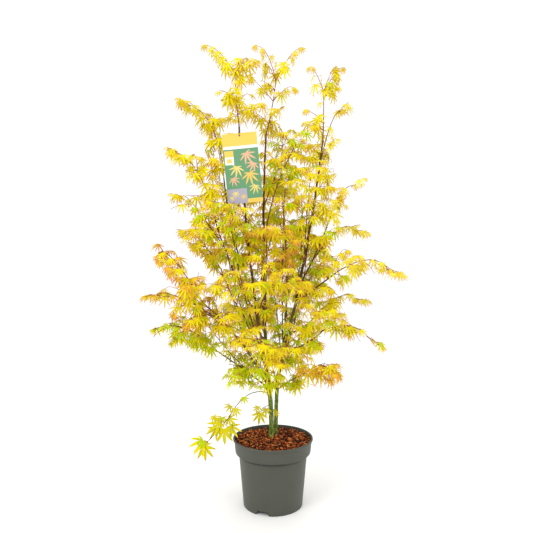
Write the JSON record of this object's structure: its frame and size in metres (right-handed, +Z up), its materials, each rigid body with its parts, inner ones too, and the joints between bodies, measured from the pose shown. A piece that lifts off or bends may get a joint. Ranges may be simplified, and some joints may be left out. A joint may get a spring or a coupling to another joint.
{
  "type": "potted japanese maple",
  "caption": "Upright multi-stemmed Japanese maple with hanging yellow-green lobed leaves, in a round collared nursery pot with bark mulch and a plant label.",
  "frame": {"origin": "centre of the pot's underside, on the ground it stands on", "axes": "+Z up along the pot's axis, -Y towards the front that shows the plant label, +X to the right of that front"},
  "size_m": [0.8873, 0.8027, 1.6263],
  "materials": {
    "pot_plastic": "satin dark grey-green moulded plastic",
    "bark_mulch": "loose reddish-brown bark chips over potting mix",
    "green_bark": "smooth green young bark",
    "brown_bark": "smooth brown bark",
    "leaves": "matt leaves, yellow to yellow-green with orange-pink tips",
    "label_card": "glossy printed plastic card",
    "label_tie": "black elastic loop"
  },
  "bodies": {
    "root": {"pot": "pot_plastic", "soil": "bark_mulch", "front_stem": "green_bark", "back_stem": "green_bark", "leader_back": "brown_bark", "leader_left": "brown_bark", "leader_middle": "brown_bark", "leader_right": "brown_bark", "bough_back_high": "brown_bark", "bough_back_low": "brown_bark", "bough_drooping": "brown_bark", "bough_front_high": "brown_bark", "bough_front_low": "brown_bark", "bough_left_high": "brown_bark", "bough_left_long": "brown_bark", "bough_left_low": "brown_bark", "bough_left_mid": "brown_bark", "bough_left_upper": "brown_bark", "bough_right_foot": "brown_bark", "bough_right_high": "brown_bark", "bough_right_long": "brown_bark", "bough_right_low": "brown_bark", "bough_right_mid": "brown_bark", "foliage_back_crest": "leaves", "foliage_back_foot": "leaves", "foliage_back_high": "leaves", "foliage_back_left": "leaves", "foliage_back_low": "leaves", "foliage_back_right": "leaves", "foliage_centre_front": "leaves", "foliage_centre_high": "leaves", "foliage_drooping": "leaves", "foliage_front_high": "leaves", "foliage_front_left": "leaves", "foliage_front_low": "leaves", "foliage_front_right": "leaves", "foliage_leader_back": "leaves", "foliage_leader_left": "leaves", "foliage_leader_middle": "leaves", "foliage_leader_right": "leaves", "foliage_left_bend": "leaves", "foliage_left_foot": "leaves", "foliage_left_front": "leaves", "foliage_left_high": "leaves", "foliage_left_long": "leaves", "foliage_left_low": "leaves", "foliage_left_mid": "leaves", "foliage_left_reach": "leaves", "foliage_left_upper": "leaves", "foliage_low_sprig": "leaves", "foliage_right_bend": "leaves", "foliage_right_crest": "leaves", "foliage_right_foot": "leaves", "foliage_right_high": "leaves", "foliage_right_inner": "leaves", "foliage_right_long": "leaves", "foliage_right_low": "leaves", "foliage_right_mid": "leaves", "label_card": "label_card", "label_tie": "label_tie"}
  },
  "joints": []
}
